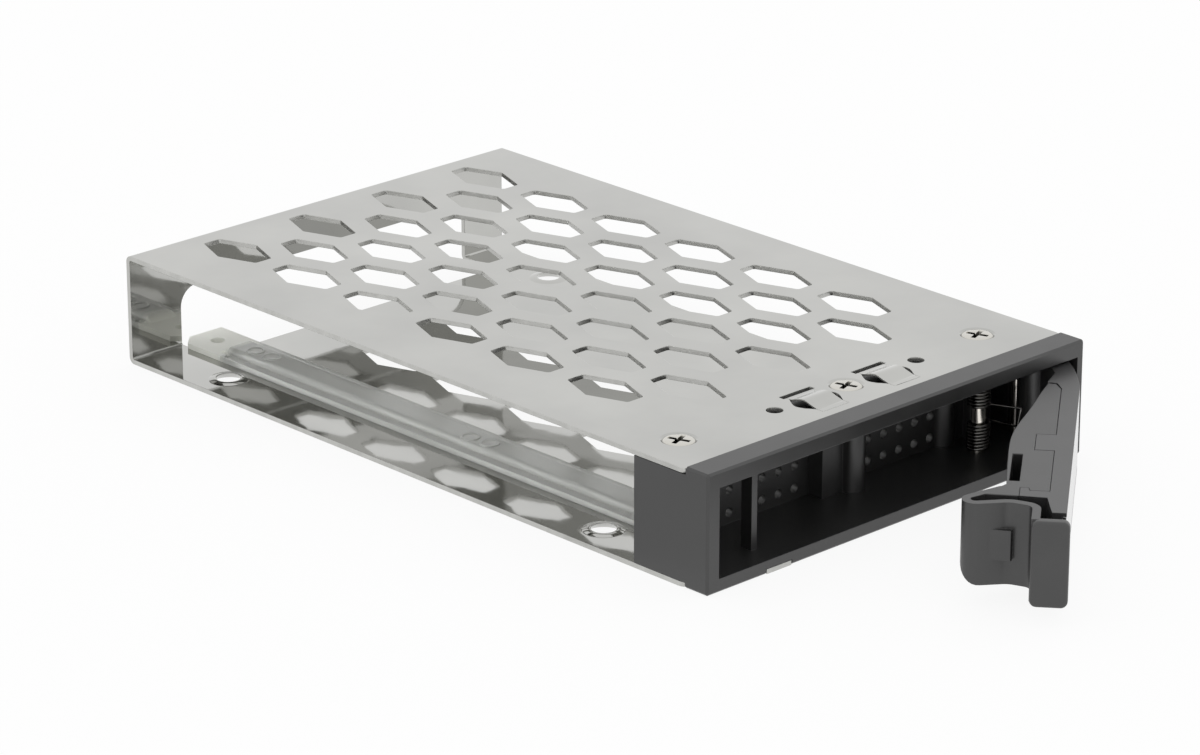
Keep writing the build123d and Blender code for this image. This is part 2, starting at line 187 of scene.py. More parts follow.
SLIT_Y = 8.75
SLIT_HALF_W = 2.95
PIP_X = (22.95, 49.85)
PIP_Y = 6.8
PIP_R = 1.15
HOOK = [(10.8, -4.05), (15.3, -4.05), (15.3, 1.0), (10.8, 1.0)]

# Cut edges of the sheet: faces turned this far sideways, or this little up and down before the wall
CUT_FACE_X = 0.75
CUT_FACE_Z = 0.6
SHEET_WALL_Y = 53.6 * MM

# Double coil spring on its pin
WIRE_R = 0.2
COIL_R = 1.42
COIL_PITCH = 0.47
COIL_TURNS = 8
COIL_STEPS = 20
COIL_SPACE = 2.3
COIL_LOW = 2.15
LOOP = [(61.5, -1.35), (62.4, -1.1)]

# Screws, spring pin and ribs of the bezel
SCREW_PLACES = {"screw_left": (6.7, 8.0), "screw_middle": (36.4, 6.8), "screw_right": (63.2, 7.9)}
SCREW_TOP = 16.27
SCREW_PROFILE = [(0.0, 0.0), (1.85, 0.0), (2.1, -0.1), (2.3, -0.34), (2.3, -0.42), (1.2, -1.4),
                 (1.2, -5.0)]
CROSS_TOP = (0.2, 1.6, 0.34)
CROSS_FOOT = (-1.1, 1.35, 0.306)
CROSS_FLARE = [(0.85, 0.1), (0.75, 0.0), (0.25, -1.4)]
CROSS_TURN = math.radians(20)
# Painted shade on the screws: the base colour darkens between these depths below the top, down to this
# share
CROSS_SHADE_DEPTH = (0.08, 0.24)
CROSS_SHADE_SHARE = 0.3
SPRING_PIN = (59.0, 3.5)
SPRING_PIN_R = 1.02
SPRING_PIN_CHAMFER = 0.15
PIN_Z = (0.8, 15.5)
CAVITY_Z = (1.9, 14.35)
MIDDLE_RIB = (36.35, 5.3)
MIDDLE_RIB_R = 1.65
MIDDLE_BLOCK = [(30.9, 5.6), (38.0, 5.6), (38.0, 8.3), (30.9, 8.3)]
SIDE_RIB = (57.3, 8.7)
SIDE_RIB_R = 1.9

# Clear light guide
GUIDE_Z = 0.72
GUIDE_T = 0.8
GUIDE_STRIP = [(8.5, 9.45), (16.3, 9.45), (16.3, 112.0), (10.4, 112.0), (8.5, 110.1)]
GUIDE_BAR_X = (9.9, 14.6)
GUIDE_BAR_Y = (9.45, 104.2)
GUIDE_BAR_H = 1.7
GUIDE_BAR_R = 0.75
GUIDE_BAR_SINK = 0.1
GUIDE_SLOPE = 1.4
GUIDE_HOLES = [((12.4, 108.1), 1.05), ((9.1, 101.9), 0.4)]
GUIDE_CUT_HIGH = 5
GUIDE_STAKES = [(11.9, 99.0), (12.0, 95.6), (11.6, 53.2), (11.8, 49.6)]
GUIDE_STAKE_R = 1.4
GUIDE_DISH_R = 0.95
GUIDE_STAKE_RISE = 0.2
GUIDE_STAKE_SINK = 0.3
GUIDE_DISH_RISE = 0.02
GUIDE_DISH_WALL = 0.12
GUIDE_MILKY_Y = (43.5 * MM, 45.5 * MM)


def node_tree(material):
    """The empty node tree of a material, with its output."""
    material.use_nodes = True
    tree = material.node_tree
    tree.nodes.clear()
    return tree, tree.nodes.new("ShaderNodeOutputMaterial")


def link(tree, source, target):
    """Joins two sockets."""
    tree.links.new(source, target)


def noise(tree, coords, scale, detail=3.0, rough=0.5, stretch=(1, 1, 1)):
    """A noise value in object space; scale is in waves for each metre."""
    mapping = tree.nodes.new("ShaderNodeMapping")
    mapping.inputs["Scale"].default_value = stretch
    link(tree, coords, mapping.inputs["Vector"])
    out = tree.nodes.new("ShaderNodeTexNoise")
    out.inputs["Scale"].default_value = scale
    out.inputs["Detail"].default_value = detail
    out.inputs["Roughness"].default_value = rough
    link(tree, mapping.outputs["Vector"], out.inputs["Vector"])
    return out.outputs["Fac"]


def blend(tree, value, colours, between=(0, 1)):
    """Runs from one colour to another as a value goes from one limit to the other."""
    out = tree.nodes.new("ShaderNodeValToRGB")
    for item, limit, colour in zip(out.color_ramp.elements, between, colours):
        item.position = limit
        item.color = (*colour, 1)
    link(tree, value, out.inputs["Fac"])
    return out.outputs["Color"]


def spread(tree, value, low, high):
    """Maps a 0 to 1 value to a range."""
    out = tree.nodes.new("ShaderNodeMapRange")
    out.inputs["To Min"].default_value = low
    out.inputs["To Max"].default_value = high
    link(tree, value, out.inputs["Value"])
    return out.outputs["Result"]


def reach(tree, coords, axis, start, end):
    """Goes from 0 to 1 between two places along an axis."""
    apart = tree.nodes.new("ShaderNodeSeparateXYZ")
    link(tree, coords, apart.inputs["Vector"])
    out = tree.nodes.new("ShaderNodeMapRange")
    out.inputs["From Min"].default_value = start
    out.inputs["From Max"].default_value = end
    link(tree, apart.outputs[axis], out.inputs["Value"])
    return out.outputs["Result"]


def bump(tree, height, depth, strength=1.0, normal=None):
    """A bump from a height value and a depth in mm, laid over an earlier normal."""
    out = tree.nodes.new("ShaderNodeBump")
    out.inputs["Distance"].default_value = depth * MM
    out.inputs["Strength"].default_value = strength
    link(tree, height, out.inputs["Height"])
    if normal is not None:
        link(tree, normal, out.inputs["Normal"])
    return out.outputs["Normal"]


def soft_edge(tree, radius):
    """The normal of edges rounded by a small radius in mm."""
    out = tree.nodes.new("ShaderNodeBevel")
    out.samples = 6
    out.inputs["Radius"].default_value = radius * MM
    return out.outputs["Normal"]


def scaled(colour, share):
    """A colour made darker or lighter."""
    return tuple(part * share for part in colour)


def shader(tree, out, **values):
    """A principled shader with its constant sockets set."""
    node = tree.nodes.new("ShaderNodeBsdfPrincipled")
    for name, value in values.items():
        node.inputs[name.replace("_", " ")].default_value = value
    link(tree, node.outputs["BSDF"], out.inputs["Surface"])
    return node


def object_coords(tree):
    """The object's own coordinates, which for these pieces are the shared frame."""
    return tree.nodes.new("ShaderNodeTexCoord").outputs["Object"]


def cut_metal():
    """The dull cut edges of the sheet."""
    material = bpy.data.materials.new("cut_metal")
    tree, out = node_tree(material)
    coords = object_coords(tree)
    node = shader(tree, out, Metallic=1.0)
    grain = noise(tree, coords, scale=600, detail=2, stretch=(1, 1, 0.2))
    link(tree, blend(tree, grain, CUT_COLOURS, CLOUD_RANGE), node.inputs["Base Color"])
    link(tree, spread(tree, grain, *CUT_ROUGHNESS), node.inputs["Roughness"])
    return material


def sheet_metal():
    """Bright rolled sheet: nearly a mirror, a little wavy, with faint rolling lines."""
    material = bpy.data.materials.new("sheet_metal")
    tree, out = node_tree(material)
    coords = object_coords(tree)
    node = shader(tree, out, Metallic=1.0)
    cloud = noise(tree, coords, scale=55, detail=4)
    link(tree, blend(tree, cloud, SHEET_COLOURS, CLOUD_RANGE), node.inputs["Base Color"])
    lines = noise(tree, coords, scale=900, detail=2, rough=0.6, stretch=(1, 0.03, 1))
    link(tree, spread(tree, lines, *SHEET_ROUGHNESS), node.inputs["Roughness"])
    wave = bump(tree, noise(tree, coords, scale=90, detail=2), depth=0.035)
    link(tree, bump(tree, lines, depth=0.0006, normal=wave), node.inputs["Normal"])
    return material


def moulded(name, colour, roughness):
    """A dark moulded plastic with a fine grain and a slight gloss."""
    material = bpy.data.materials.new(name)
    tree, out = node_tree(material)
    coords = object_coords(tree)
    node = shader(tree, out, Metallic=0.0, Specular_IOR_Level=MOULDED_GLOSS)
    cloud = noise(tree, coords, scale=160, detail=4)
    colours = [scaled(colour, tone) for tone in MOULDED_TONES]
    link(tree, blend(tree, cloud, colours, CLOUD_RANGE), node.inputs["Base Color"])
    low, high = roughness - MOULDED_PLAY, roughness + MOULDED_PLAY
    link(tree, spread(tree, cloud, low, high), node.inputs["Roughness"])
    fine = noise(tree, coords, scale=3500, detail=2)
    edge = soft_edge(tree, radius=0.12)
    link(tree, bump(tree, fine, depth=0.01, strength=0.6, normal=edge), node.inputs["Normal"])
    return material


def bright_steel(name, colour, roughness):
    """Turned or plated bright steel."""
    material = bpy.data.materials.new(name)
    tree, out = node_tree(material)
    coords = object_coords(tree)
    node = shader(tree, out, Metallic=1.0)
    cloud = noise(tree, coords, scale=400)
    colours = [scaled(colour, tone) for tone in STEEL_TONES]
    link(tree, blend(tree, cloud, colours, CLOUD_RANGE), node.inputs["Base Color"])
    low, high = [roughness * play for play in STEEL_PLAY]
    link(tree, spread(tree, cloud, low, high), node.inputs["Roughness"])
    fine = noise(tree, coords, scale=5000, detail=2)
    edge = soft_edge(tree, radius=0.06)
    link(tree, bump(tree, fine, depth=0.001, strength=0.5, normal=edge), node.inputs["Normal"])
    return material


def plated_screw_with_painted_shade(name, colour, roughness):
    """Plated steel whose base colour is darkened down in the cross and below the rim, as painted shade.
    """
    material = bright_steel(name, colour, roughness)
    tree = material.node_tree
    base = tree.nodes["Principled BSDF"].inputs["Base Color"]
    tree.nodes.remove(base.links[0].from_node)
    start, end = [(SCREW_TOP - depth) * MM for depth in CROSS_SHADE_DEPTH]
    deep = reach(tree, object_coords(tree), "Z", start, end)
    link(tree, blend(tree, deep, (colour, scaled(colour, CROSS_SHADE_SHARE))), base)
    return material


def clear_plastic():
    """Clear moulded plastic that turns milky towards its rear tab."""
    material = bpy.data.materials.new("clear_plastic")
    tree, out = node_tree(material)
    coords = object_coords(tree)
    node = shader(tree, out, Metallic=0.0, IOR=1.46)
    milky = reach(tree, coords, "Y", *GUIDE_MILKY_Y)
    link(tree, blend(tree, milky, GUIDE_COLOURS), node.inputs["Base Color"])
    link(tree, spread(tree, milky, *GUIDE_CLEARNESS), node.inputs["Transmission Weight"])
    link(tree, spread(tree, milky, *GUIDE_ROUGHNESS), node.inputs["Roughness"])
    ripple = noise(tree, coords, scale=120, detail=2, stretch=(1, 0.25, 1))
    link(tree, bump(tree, ripple, depth=0.015, strength=0.6), node.inputs["Normal"])
    return material


def place(x, y, z):
    """A place in the shared frame from mm in the tray's own count."""
    return Vector(((x - SIDE) * MM, (y - FRONT) * MM, z * MM))


def prism(name, outline, z0, z1):
    """A closed piece from a flat outline, stood up between two heights."""
    form = bmesh.new()
    low = [form.verts.new(place(x, y, z0)) for x, y in outline]
    high = [form.verts.new(place(x, y, z1)) for x, y in outline]
    return walled(name, form, low, high)


def side_prism(name, profile, x0, x1):
    """A closed piece from an outline of y and z, run across between two sides."""
    form = bmesh.new()
    near = [form.verts.new(place(x0, y, z)) for y, z in profile]
    far = [form.verts.new(place(x1, y, z)) for y, z in profile]
    return walled(name, form, near, far)


def end_prism(name, profile, y0, y1):
    """A closed piece from an outline of x and z, run along between two places."""
    form = bmesh.new()
    near = [form.verts.new(place(x, y0, z)) for x, z in profile]
    far = [form.verts.new(place(x, y1, z)) for x, z in profile]
    return walled(name, form, near, far)


def gather(pieces):
    """Puts several pieces that lie apart into the first one."""
    form = bmesh.new()
    for piece in pieces:
        form.from_mesh(piece.data)
    form.to_mesh(pieces[0].data)
    form.free()
    for piece in pieces[1:]:
        bpy.data.objects.remove(piece)
    return pieces[0]


def linked(name, mesh):
    """A new object in the scene from a mesh."""
    piece = bpy.data.objects.new(name, mesh)
    bpy.context.scene.collection.objects.link(piece)
    return piece


def shaped(name, form):
    """A new piece from a closed form, which is used up."""
    bmesh.ops.recalc_face_normals(form, faces=form.faces)
    mesh = bpy.data.meshes.new(name)
    form.to_mesh(mesh)
    form.free()
    return linked(name, mesh)


def walled(name, form, first, last):
    """Closes two like rings of points with caps and walls, as a new piece."""
    form.faces.new(first[::-1])
    form.faces.new(last)
    for i, a in enumerate(first):
        j = (i + 1) % len(first)
        form.faces.new((a, first[j], last[j], last[i]))
    return shaped(name, form)


def ring(centre, radius, count=40):
    """The outline of a circle."""
    steps = [2 * math.pi * i / count for i in range(count)]
    return [(centre[0] + radius * math.cos(t), centre[1] + radius * math.sin(t)) for t in steps]


def turned(name, centre, profile, count=48):
    """A round piece from a profile of radius and height, from its top middle down."""
    form = bmesh.new()
    rows = []
    for radius, z in profile:
        spots = ring(centre, radius, count) if radius > 0 else [centre]
        rows.append([form.verts.new(place(x, y, z)) for x, y in spots])
    for upper, lower in zip(rows, rows[1:]):
        for i in range(count):
            j = (i + 1) % count
            if len(upper) == 1:
                form.faces.new((upper[0], lower[i], lower[j]))
            else:
                form.faces.new((upper[i], lower[i], lower[j], upper[j]))
    form.faces.new(rows[-1])
    if len(rows[0]) > 1:
        form.faces.new(rows[0][::-1])
    return shaped(name, form)


def settle(piece):
    """Turns a piece's modifiers into its mesh."""
    graph = bpy.context.evaluated_depsgraph_get()
    mesh = bpy.data.meshes.new_from_object(piece.evaluated_get(graph))
    piece.modifiers.clear()
    piece.data = mesh
    return piece


def combine(piece, other, operation):
    """Joins, cuts or trims a piece by another one, which is used up."""
    step = piece.modifiers.new("combine", "BOOLEAN")
    step.operation = operation
    step.solver = "EXACT"
    step.object = other
    settle(piece)
    bpy.data.objects.remove(other)
    return piece


def round_edges(piece, width, segments=EDGE_STEPS, clamp=True):
    """Rounds a piece's sharp edges."""
    step = piece.modifiers.new("edges", "BEVEL")
    step.width = width * MM
    step.segments = segments
    step.limit_method = "ANGLE"
    step.angle_limit = EDGE_ANGLE
    step.use_clamp_overlap = clamp
    return settle(piece)


def merge_points(piece):
    """Merges points that lie on one another."""
    form = bmesh.new()
    form.from_mesh(piece.data)
    bmesh.ops.remove_doubles(form, verts=form.verts, dist=MERGE_GAP)
    form.to_mesh(piece.data)
    form.free()
    return piece


def arcs(points, radii, count=8):
    """A line through points whose inner corners are rounded."""
    spots = [Vector(point) for point in points]
    line = [spots[0]]
    for i, radius in enumerate(radii, 1):
        before = (spots[i - 1] - spots[i]).normalized()
        after = (spots[i + 1] - spots[i]).normalized()
        half = before.angle(after) / 2
        centre = spots[i] + (before + after).normalized() * radius / math.sin(half)
        start = spots[i] + before * radius / math.tan(half) - centre
        end = spots[i] + after * radius / math.tan(half) - centre
        turn = start.angle(end)
        for step in range(count + 1):
            share = step / count
            mix = start * math.sin((1 - share) * turn) + end * math.sin(share * turn)
            line.append(centre + mix / math.sin(turn))
    return line + [spots[-1]]


def rounded(points, radius, count=4):
    """A closed outline whose corners are rounded."""
    start = (Vector(points[-1]) + Vector(points[0])) / 2
    return arcs([start] + points + [start], [radius] * len(points), count)[:-1]


def ribbon(line, width):
    """The outline of a strip of one width along a line."""
    left, right = [], []
    for i, spot in enumerate(line):
        ahead = line[min(i + 1, len(line) - 1)] - line[max(i - 1, 0)]
        side = Vector((-ahead.y, ahead.x)).normalized() * width / 2
        left.append(spot + side)
        right.append(spot - side)
    return left + right[::-1]


def smooth(points, count=5):
    """A smooth line through points."""
    spots = [Vector(point) for point in points]
    line = []
    for i in range(len(spots) - 1):
        a, b, c, d = spots[max(i - 1, 0)], spots[i], spots[i + 1], spots[min(i + 2, len(spots) - 1)]
        for step in range(count):
            t = step / count
            line.append(0.5 * (2 * b + (c - a) * t + (2 * a - 5 * b + 4 * c - d) * t * t
                               + (3 * b - a - 3 * c + d) * t * t * t))
    return line + [spots[-1]]


def opened(piece):
    """Turns a lever piece from shut to the open rest position."""
    pivot = place(*PIVOT, 0)
    turn = Matrix.Translation(pivot) @ Matrix.Rotation(OPEN_ANGLE, 4, "Z") @ Matrix.Translation(-pivot)
    piece.data.transform(turn)
    return piece


def plate_outline(outside, depth, gap):
    """The plate's plan along the arm's bent front."""
    line = [(ARM_END + gap, ARM_FRONT)] + ARM_BENDS[:2] + [(ARM_BENDS[2][0] - gap, ARM_BENDS[2][1])]
    return [(x, y - outside) for x, y in line] + [(x, y + depth) for x, y in line[::-1]]


def lever_arm():
    """The lever's arm with its hub, its tongue and the seat of the plate."""
    outline = [(ARM_END, ARM_FRONT)] + ARM_BENDS + ARM_SHOULDER + ARM_INNER
    outline += [(ARM_RAMP_X, ARM_BACK), (TONGUE[1], ARM_BACK), (TONGUE[1], TONGUE_TOP)]
    outline += [(TONGUE[0], TONGUE_TOP), (TONGUE[0], ARM_BACK), (HEEL[0][0], ARM_BACK)]
    outline += HEEL + [(HEEL_END_X, HEEL[-1][1])] + ARM_TOE
    arm = prism("arm", outline, LEVER_LOW, LEVER_HIGH)
    combine(arm, prism("hub", ring(PIVOT, HUB_R), LEVER_LOW, LEVER_HIGH), "UNION")
    combine(arm, prism("bore", ring(PIVOT, HUB_BORE_R, count=24), 0, CUT_HIGH), "DIFFERENCE")
    seat = plate_outline(SEAT_OUTSIDE, PLATE_T, -PLATE_GAP)
    low, high = LEVER_LOW + PLATE_LIP, LEVER_HIGH - PLATE_LIP
    combine(arm, prism("seat", seat, low, high), "DIFFERENCE")
    return opened(round_edges(arm, ARM_EDGE))


def lever_plate():
    """The bright bent plate on the lever's outside."""
    lip = PLATE_LIP + PLATE_GAP
    outline = plate_outline(0, PLATE_T - PLATE_GAP, PLATE_GAP)
    plate = prism("plate", outline, LEVER_LOW + lip, LEVER_HIGH - lip)
    return opened(round_edges(plate, PLATE_EDGE))


def latch_block():
    """The latch's solid body beside the arm, with its pocket."""
    back = ARM_BACK + PARTING
    heel_x, heel_top = HEEL[1][0] + PARTING, HEEL[2][1] + PARTING
    outline = smooth(BLOCK_BACK) + BLOCK_ROOT
    outline += [(HEEL_END_X, heel_top), (heel_x, heel_top), (heel_x, HEEL[1][1] - PARTING)]
    outline += [(HEEL[0][0] + PARTING, HEEL[0][1] - PARTING), (HEEL[0][0] + PARTING, back)]
    outline += [(TONGUE[0] - PARTING, back), (TONGUE[0] - PARTING, TONGUE_TOP + PARTING)]
    outline += [(TONGUE[1] + PARTING, TONGUE_TOP + PARTING), (TONGUE[1] + PARTING, back)]
    outline += BLOCK_END
    body = prism("block", outline, LEVER_LOW, LEVER_HIGH)
    combine(body, prism("pocket", POCKET, LEVER_HIGH - POCKET_DEPTH, CUT_HIGH), "DIFFERENCE")
    return round_edges(body, BLOCK_EDGE)


def latch_strip():
    """The hairpin strip, lifted at the bottom, with its low rear corner rounded."""
    low = LEVER_LOW + STRIP_LIFT
    strip = prism("strip", ribbon(arcs(STRIP_LINE, STRIP_BENDS), STRIP_T), low, LEVER_HIGH)
    front = PAD_Y[0] - CUT_MARGIN
    corner = arcs([(front, low), (STRIP_REAR, low), (STRIP_REAR, LEVER_HIGH)], [STRIP_CORNER_R])
    outline = corner + [Vector((front, LEVER_HIGH))]
    combine(strip, side_prism("side", outline, 0, 2 * SIDE), "INTERSECT")
    return round_edges(strip, STRIP_EDGE, segments=3)


def latch_pad():
    """The finger pad on the strip's end, with rounded corners."""
    low = LEVER_LOW + PAD_LIFT
    corners = [(PAD_Y[1], low), (PAD_Y[1], LEVER_HIGH), (PAD_Y[0], LEVER_HIGH), (PAD_Y[0], low)]
    pad = side_prism("pad", rounded(corners, PAD_CORNER_R, count=6), *PAD_X)
    return round_edges(pad, PAD_EDGE, segments=3)


def lever_latch():
    """The latch moulding: block, hairpin strip, catch wedge and finger pad."""
    latch = latch_block()
    combine(latch, latch_strip(), "UNION")
    combine(latch, latch_pad(), "UNION")
    combine(latch, round_edges(prism("wedge", WEDGE, *WEDGE_Z), WEDGE_EDGE), "UNION")
    return opened(latch)


def screw(spot):
    """A countersunk screw with a rounded rim and a flared cross."""
    body = turned("body", spot, [(radius, SCREW_TOP + z) for radius, z in SCREW_PROFILE])
    for turn in (CROSS_TURN, CROSS_TURN + math.pi / 2):
        combine(body, cross_blade(spot, turn), "DIFFERENCE")
    flare = [(radius, SCREW_TOP + z) for radius, z in CROSS_FLARE]
    combine(body, turned("flare", spot, flare, count=4), "DIFFERENCE")
    return round_edges(body, SCREW_EDGE)


def cross_blade(spot, turn):
    """One tapered blade of the driver that the cross takes."""
    form = bmesh.new()
    rows = []
    for z, long, half in (CROSS_TOP, CROSS_FOOT):
        corners = [(-long, -half), (long, -half), (long, half), (-long, half)]
        spots = [Vector(corner) for corner in corners]
        for corner in spots:
            corner.rotate(Matrix.Rotation(turn, 2))
        rows.append([form.verts.new(place(spot[0] + c.x, spot[1] + c.y, SCREW_TOP + z)) for c in spots])
    return walled("blade", form, rows[1], rows[0])


def spring_pin():
    """The bright pin through the coils."""
    top, low, radius = PIN_Z[1], PIN_Z[0], SPRING_PIN_R
    chamfer = SPRING_PIN_CHAMFER
    profile = [(0.0, top), (radius - chamfer, top), (radius, top - chamfer), (radius, low)]
    return turned("pin", SPRING_PIN, profile)


def bezel_ribs():
    """The round ribs and the block at the bezel's back wall."""
    ribs = prism("ribs", MIDDLE_BLOCK, *CAVITY_Z)
    combine(ribs, prism("rib", ring(MIDDLE_RIB, MIDDLE_RIB_R), *CAVITY_Z), "UNION")
    combine(ribs, prism("rib", ring(SIDE_RIB, SIDE_RIB_R), *CAVITY_Z), "UNION")
    return ribs


def hexagon(x, y, z0, z1):
    """One long six sided hole."""
    ring_points = HEX_HALF + [(-a, -b) for a, b in HEX_HALF]
    outline = rounded([(x + a, y + b) for a, b in ring_points], HEX_CORNER_R)
    return prism("hex", outline, z0, z1)


def hex_holes():
    """All air holes of the top sheet and the floor."""
    for line in range(HEX_LINES):
        x = HEX_MIDDLE_X + HEX_LINE_PITCH * (line - (HEX_LINES - 1) / 2)
        for row in range(HEX_ROWS):
            y = HEX_REAR_Y - HEX_PITCH * (row + (0.5 if line % 2 else 0))
            yield hexagon(x, y, SHEET_H - 2 * SHEET_T, SHEET_H + CUT_MARGIN)
            if row in FLOOR_HEXES.get(line, ()):
                side, along = FLOOR_HEX_SHIFT[line]
                yield hexagon(x + side, y + along, -CUT_MARGIN, 2 * SHEET_T)


def front_holes():
    """The finger slots, the round holes and the screws' seats near the front edge."""
    (y0, y1), (bow_from, bow_at, bow_to) = SLOT_Y, SLOT_BOW_Y
    heights = (SHEET_H - 2 * SHEET_T, SHEET_H + CUT_MARGIN)
    for x in FINGER_X:
        side = x + SLOT_HALF_W
        bow = [Vector((side, y0))]
        bow += smooth([(side, bow_from), (side + SLOT_BULGE, bow_at), (side, bow_to)])
        wide = x + SLIT_HALF_W
        bow += [Vector((side, SLIT_Y)), Vector((wide, SLIT_Y)), Vector((wide, y1))]
        outline = bow + [Vector((2 * x - spot.x, spot.y)) for spot in bow[::-1]]
        yield prism("slot", outline, *heights)
    for x in PIP_X:
        yield prism("pip", ring((x, PIP_Y), PIP_R, count=32), *heights)
    for spot in SCREW_PLACES.values():
        yield turned("sink", spot, SINK)


def finger(x):
    """One sprung finger, arched up between its root and its tip, both flush with the sheet."""
    root, tip = Vector((FINGER_ROOT_Y, SHEET_H)), Vector((FINGER_TIP_Y, SHEET_H))
    line = [root] + smooth(FINGER_ARCH) + [tip]
    under = [spot - Vector((0, FINGER_T)) for spot in line[::-1]]
    return side_prism("finger", line + under, x - FINGER_HALF_W, x + FINGER_HALF_W)


def connector_gap():
    """The window in the rear wall that runs on into the floor."""
    (x0, x1), low = GAP_X, GAP_LOW
    outline = arcs([(x1, low), (x1, GAP_TOP), (x0, GAP_TOP), (x0, low)], [GAP_R] * 2)
    return end_prism("gap", outline, GAP_FLOOR_Y, GAP_REAR_Y)


def tray_shell():
    """The perforated sheet folded over the rear, with its dimples, fingers and hook."""
    length, height, t = SHEET_L, SHEET_H, SHEET_T
    outer = arcs([(0, 0), (length, 0), (length, height), (0, height)], [BEND_R] * 2)
    back = length - t
    inner = arcs([(0, height - t), (back, height - t), (back, t), (0, t)], [BEND_R - t] * 2)
    sheet = side_prism("sheet", outer + inner, 0, 2 * SIDE)
    rear = length + CUT_MARGIN
    plan = rounded([(2 * SIDE, rear), (0, rear), (0, 0), (2 * SIDE, 0)], CORNER_R)
    combine(sheet, prism("keep", plan, -CUT_MARGIN, height + CUT_MARGIN), "INTERSECT")
    spots = [(x, y) for x in DRIVE_X for y in DRIVE_Y]
    combine(sheet, gather([turned("dimple", spot, DIMPLE) for spot in spots]), "UNION")
    drive_holes = [turned("hole", spot, DIMPLE_HOLE) for spot in spots]
    combine(sheet, gather([*hex_holes(), *front_holes(), *drive_holes]), "DIFFERENCE")
    combine(sheet, connector_gap(), "DIFFERENCE")
    for x in FINGER_X:
        combine(sheet, finger(x), "UNION")
    combine(sheet, prism("hook", HOOK, 0, t), "UNION")
    return round_edges(merge_points(sheet), SHEET_EDGE, clamp=False)


def dress_cuts(piece, material):
    """Gives the sheet's cut edges their own dull finish."""
    piece.data.materials.append(material)
    for face in piece.data.polygons:
        along_side = abs(face.normal.x) > CUT_FACE_X
        in_hole = abs(face.normal.z) < CUT_FACE_Z and face.center.y < SHEET_WALL_Y
        if along_side or in_hole:
            face.material_index = 1


def helix(low):
    """The line of one close coil about the spring pin."""
    for i in range(COIL_STEPS * COIL_TURNS + 1):
        turns = i / COIL_STEPS
        angle = 2 * math.pi * turns
        x = SPRING_PIN[0] + COIL_R * math.cos(angle)
        y = SPRING_PIN[1] + COIL_R * math.sin(angle)
        yield place(x, y, low + COIL_PITCH * turns)


def lever_spring():
    """Two coils on one pin, joined by the loop that bears on the lever."""
    low_top = COIL_LOW + COIL_PITCH * COIL_TURNS
    high = low_top + COIL_SPACE
    loop = [place(*LOOP[0], low_top), place(*LOOP[1], high)]
    line = [*helix(COIL_LOW), *loop, *helix(high)]
    curve = bpy.data.curves.new("spring", "CURVE")
    curve.dimensions = "3D"
    curve.bevel_depth = WIRE_R * MM
    curve.bevel_resolution = 3
    curve.use_fill_caps = True
    spline = curve.splines.new("POLY")
    spline.points.add(len(line) - 1)
    for point, spot in zip(spline.points, line):
        point.co = (*spot, 1)
    wire = linked("wire", curve)
    graph = bpy.context.evaluated_depsgraph_get()
    mesh = bpy.data.meshes.new_from_object(wire.evaluated_get(graph))
    bpy.data.objects.remove(wire)
    return linked("spring", mesh)


def guide_bar():
    """The raised bar of the light guide, rounded along its top and sloped at its end."""
    (x0, x1), (y0, y1) = GUIDE_BAR_X, GUIDE_BAR_Y
    low, top = GUIDE_Z + GUIDE_BAR_SINK, GUIDE_Z + GUIDE_BAR_H
    profile = [(y0, low), (y1, low), (y1, GUIDE_Z + GUIDE_T), (y1 - GUIDE_SLOPE, top), (y0, top)]
    bar = side_prism("bar", profile, x0, x1)
    under = low - CUT_MARGIN
    keep = arcs([(x0, under), (x0, top), (x1, top), (x1, under)], [GUIDE_BAR_R] * 2)
    return combine(bar, end_prism("keep", keep, y0 - CUT_MARGIN, y1 + CUT_MARGIN), "INTERSECT")


def light_guide():
    """The clear strip with its bar, its tab and the stake heads."""
    guide = prism("guide", GUIDE_STRIP, GUIDE_Z, GUIDE_Z + GUIDE_T)
    combine(guide, guide_bar(), "UNION")
    top = GUIDE_Z + GUIDE_BAR_H
    dish, rim = top + GUIDE_DISH_RISE, top + GUIDE_STAKE_RISE
    profile = [(0.0, dish), (GUIDE_DISH_R, dish), (GUIDE_DISH_R + GUIDE_DISH_WALL, rim),
               (GUIDE_STAKE_R, rim), (GUIDE_STAKE_R, top - GUIDE_STAKE_SINK)]
    for spot in GUIDE_STAKES:
        combine(guide, turned("stake", spot, profile, count=32), "UNION")
    for spot, radius in GUIDE_HOLES:
        hole = prism("hole", ring(spot, radius, count=32), 0, GUIDE_CUT_HIGH)
        combine(guide, hole, "DIFFERENCE")
    return round_edges(guide, GUIDE_EDGE)


def finish(piece, name, body, slot, material, *nodes):
    """Names a piece, dresses it, hangs it on the body it rides on and hides the solids it takes the
    place of.
    """
    piece.name = name
    piece.data.name = name
    piece.data.materials.clear()
    piece.data.materials.append(material)
    piece.data.shade_smooth()
    piece.data.set_sharp_from_angle(angle=SHARP_ANGLE)
    step = piece.modifiers.new("flat", "WEIGHTED_NORMAL")
    step.keep_sharp = True
    settle(piece)
    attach(piece, body)
    if nodes:
        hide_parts(*nodes)


def dress(names, material):
    """Gives solids their material."""
    for name in names:
        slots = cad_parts[name].data.materials
        slots.clear()
        slots.append(material)


def background_share(tree):
    """1 for rays that see the background itself: from the camera, a reflection or through glass."""
    path = tree.nodes.new("ShaderNodeLightPath")
    total = path.outputs["Is Camera Ray"]
    for name in ("Is Glossy Ray", "Is Transmission Ray"):
        both = tree.nodes.new("ShaderNodeMath")
        both.operation = "MAXIMUM"
        link(tree, total, both.inputs[0])
        link(tree, path.outputs[name], both.inputs[1])
        total = both.outputs[0]
    return total


